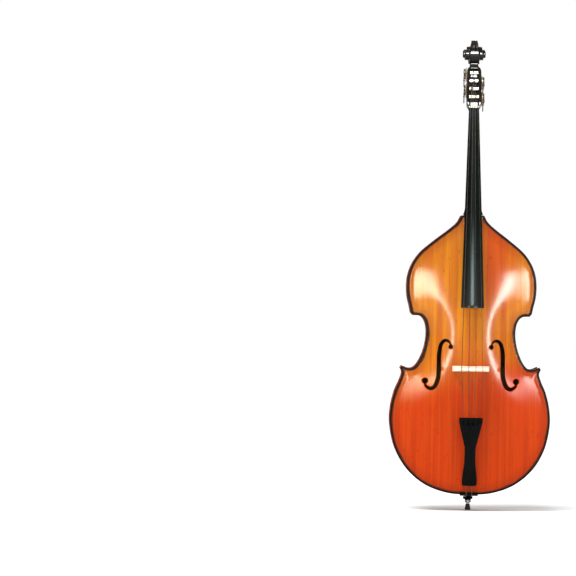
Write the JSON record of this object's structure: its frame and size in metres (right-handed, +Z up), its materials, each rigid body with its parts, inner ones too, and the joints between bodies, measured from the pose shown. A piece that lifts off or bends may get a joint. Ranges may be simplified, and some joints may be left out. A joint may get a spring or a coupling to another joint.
{
  "type": "double bass",
  "caption": "Bowed bass with sloping shoulders, carved arched plates, sound holes, scroll head with worm-geared tuners, bridge, tailpiece and sliding endpin.",
  "frame": {"origin": "on the centre line at the middle of the rib depth, at the lowest point of the body outline, where the cradle carries it", "axes": "+Z up along the neck towards the scroll, -Y out of the front plate, +X towards the thinnest string"},
  "size_m": [0.64, 0.4258, 1.884],
  "materials": {
    "varnished_spruce": "glossy orange-brown varnish over straight-grained spruce",
    "varnished_maple": "glossy red-brown varnish over flamed maple",
    "black_maple": "maple stained black under clear varnish",
    "bare_maple": "bare, lightly polished maple",
    "bare_spruce": "bare planed softwood",
    "ebony": "oiled black hardwood, satin",
    "bronzed_brass": "brass blackened to a dark bronze, satin",
    "bone": "polished bone or bone-white plastic",
    "steel": "drawn steel, semi-bright",
    "wound_steel": "flat metal winding, dulled by use",
    "rubber": "matt black rubber"
  },
  "bodies": {
    "body": {"top_plate": "varnished_spruce", "back_plate": "varnished_maple", "rib_lower_treble": "varnished_maple", "rib_lower_bass": "varnished_maple", "rib_middle_treble": "varnished_maple", "rib_middle_bass": "varnished_maple", "rib_upper_treble": "varnished_maple", "rib_upper_bass": "varnished_maple", "front_lining": "bare_spruce", "back_lining": "bare_spruce", "corner_block_lower_treble": "bare_spruce", "corner_block_lower_bass": "bare_spruce", "corner_block_upper_treble": "bare_spruce", "corner_block_upper_bass": "bare_spruce", "end_block": "bare_spruce", "neck_block": "bare_spruce", "bass_bar": "bare_spruce", "sound_post": "bare_spruce", "neck": "black_maple", "fingerboard": "ebony", "nut": "bone", "bridge": "bare_maple", "tailpiece": "ebony", "saddle": "ebony", "tail_wire": "steel", "endpin_plug": "ebony", "tuner_plate_e": "bronzed_brass", "tuner_plate_a": "bronzed_brass", "tuner_plate_d": "bronzed_brass", "tuner_plate_g": "bronzed_brass", "string_e": "wound_steel", "string_a": "wound_steel", "string_d": "wound_steel", "string_g": "wound_steel"},
    "endpin": {"endpin_rod": "steel", "endpin_foot": "rubber"},
    "thumb_screw": {"endpin_thumb_screw": "steel"},
    "key_e": {"key_e": "bronzed_brass"},
    "roller_e": {"roller_e": "bone", "gear_e": "bronzed_brass", "winding_e": "wound_steel"},
    "key_a": {"key_a": "bronzed_brass"},
    "roller_a": {"roller_a": "bone", "gear_a": "bronzed_brass", "winding_a": "wound_steel"},
    "key_d": {"key_d": "bronzed_brass"},
    "roller_d": {"roller_d": "bone", "gear_d": "bronzed_brass", "winding_d": "wound_steel"},
    "key_g": {"key_g": "bronzed_brass"},
    "roller_g": {"roller_g": "bone", "gear_g": "bronzed_brass", "winding_g": "wound_steel"}
  },
  "joints": [
    {"name": "key_e_turn", "type": "hinge", "parent": "body", "child": "key_e", "pos_m": [-0.038, -0.02991, 1.60924], "axis": [0, 0.9613, -0.2756], "continuous": true},
    {"name": "roller_e_turn", "type": "hinge", "parent": "body", "child": "roller_e", "pos_m": [0, -0.02442, 1.62837], "axis": [1, 0, 0], "continuous": true},
    {"name": "key_a_turn", "type": "hinge", "parent": "body", "child": "key_a", "pos_m": [-0.038, -0.01117, 1.67461], "axis": [0, 0.9613, -0.2756], "continuous": true},
    {"name": "roller_a_turn", "type": "hinge", "parent": "body", "child": "roller_a", "pos_m": [0, -0.00568, 1.69374], "axis": [1, 0, 0], "continuous": true},
    {"name": "key_d_turn", "type": "hinge", "parent": "body", "child": "key_d", "pos_m": [0.038, -0.02054, 1.64193], "axis": [0, 0.9613, -0.2756], "continuous": true},
    {"name": "roller_d_turn", "type": "hinge", "parent": "body", "child": "roller_d", "pos_m": [0, -0.01505, 1.66106], "axis": [1, 0, 0], "continuous": true},
    {"name": "key_g_turn", "type": "hinge", "parent": "body", "child": "key_g", "pos_m": [0.038, -0.03928, 1.57656], "axis": [0, 0.9613, -0.2756], "continuous": true},
    {"name": "roller_g_turn", "type": "hinge", "parent": "body", "child": "roller_g", "pos_m": [0, -0.03379, 1.59569], "axis": [1, 0, 0], "continuous": true},
    {"name": "endpin_slide", "type": "slide", "parent": "body", "child": "endpin", "axis": [0, 0, -1], "range_m": [0, 0.3]},
    {"name": "thumb_screw_turn", "type": "hinge", "parent": "body", "child": "thumb_screw", "pos_m": [0, -0.02, -0.027], "axis": [0, -1, 0], "range_deg": [0, 360]}
  ],
  "couplings": [
    {"joint": "roller_e_turn", "follows": "key_e_turn", "ratio": -0.041667},
    {"joint": "roller_a_turn", "follows": "key_a_turn", "ratio": -0.041667},
    {"joint": "roller_d_turn", "follows": "key_d_turn", "ratio": -0.041667},
    {"joint": "roller_g_turn", "follows": "key_g_turn", "ratio": -0.041667}
  ]
}
